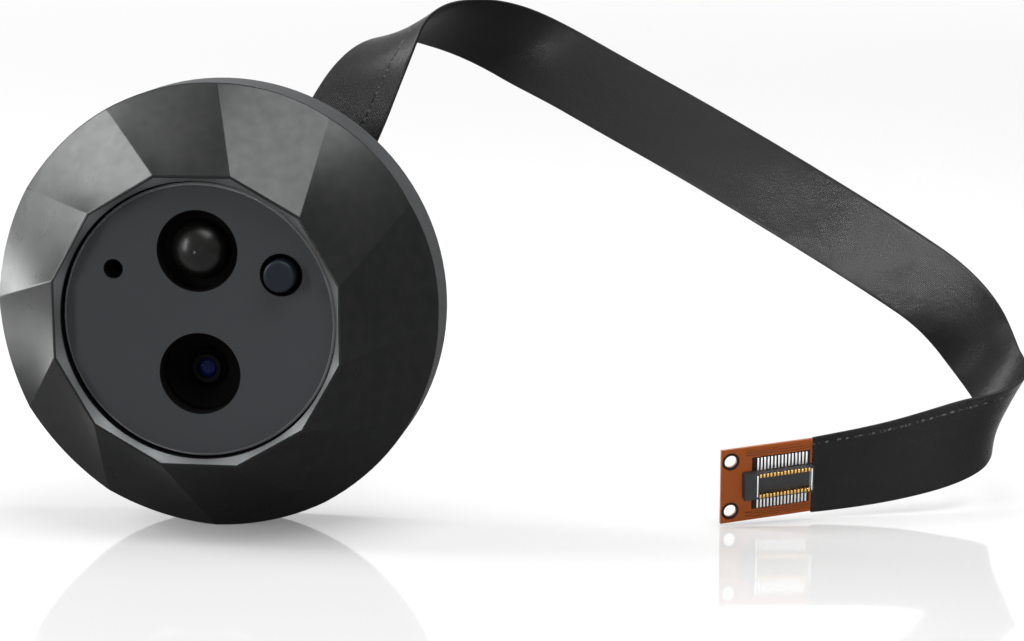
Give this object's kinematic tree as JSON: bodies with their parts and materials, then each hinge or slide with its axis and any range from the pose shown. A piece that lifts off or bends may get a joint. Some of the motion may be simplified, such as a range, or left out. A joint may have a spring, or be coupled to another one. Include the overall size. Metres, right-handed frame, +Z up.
{
  "type": "video intercom",
  "caption": "Round door-mounted camera unit of a video intercom, with a faceted bezel, motion sensor, push button, rear spigot and a flat ribbon with a board plug.",
  "frame": {"origin": "centre of the rear spigot, in the plane of the door's outer face", "axes": "+Y along the spigot into the door, +Z up, and the face looks along -Y"},
  "size_m": [0.1389, 0.052, 0.0693],
  "materials": {
    "bezel_coat": "satin",
    "face_anodised": "satin",
    "cover_plastic": "matte",
    "sensor_lens_plastic": "gloss",
    "button_plastic": "satin",
    "plunger_plastic": "matte",
    "seal_rubber": "matte",
    "pad_foam": "matte",
    "adhesive_tape": "matte",
    "steel": "satin",
    "capsule_metal": "satin",
    "brass": "satin",
    "contact_gold": "gloss",
    "board_laminate": "satin",
    "chip_moulding": "matte",
    "optic_glass": "gloss",
    "lens_plastic": "matte",
    "connector_plastic": "matte",
    "cloth_tape": "matte",
    "flex_film": "gloss",
    "stiffener_laminate": "satin"
  },
  "bodies": {
    "unit": {"bezel": "bezel_coat", "board_screws": "steel", "button_seal": "seal_rubber", "carrier": "cover_plastic", "carrier_screws": "steel", "cover_screws": "steel", "cover_seal": "seal_rubber", "door_pad": "pad_foam", "face_plate": "face_anodised", "face_tape": "adhesive_tape", "image_sensor": "chip_moulding", "ir_filter": "optic_glass", "lens_barrel": "lens_plastic", "lens_glass": "optic_glass", "lens_holder": "lens_plastic", "lens_hood": "lens_plastic", "main_board": "board_laminate", "microphone": "capsule_metal", "microphone_boot": "seal_rubber", "pir_lens": "sensor_lens_plastic", "pir_sensor": "steel", "pir_window": "optic_glass", "plug_contacts": "contact_gold", "plug_housing": "connector_plastic", "plug_stiffener": "stiffener_laminate", "plug_tongue": "flex_film", "processor_chip": "chip_moulding", "rear_cover": "cover_plastic", "ribbon": "cloth_tape", "ribbon_grommet": "seal_rubber", "ribbon_socket": "connector_plastic", "ribbon_tail": "cloth_tape", "switch_body": "connector_plastic", "switch_cover": "steel", "switch_dome": "steel", "thread_inserts": "brass"},
    "button": {"button_cap": "button_plastic"},
    "plunger": {"switch_plunger": "plunger_plastic"}
  },
  "joints": [
    {"name": "button_press", "type": "slide", "parent": "unit", "child": "button", "axis": [0, 1, 0], "range_m": [0, 0.0004], "stiffness_N_per_m": 1200, "springref_m": -0.0005},
    {"name": "plunger_press", "type": "slide", "parent": "unit", "child": "plunger", "axis": [0, 1, 0], "range_m": [0, 0.0008]}
  ],
  "couplings": [
    {"joint": "plunger_press", "follows": "button_press", "ratio": 1}
  ]
}
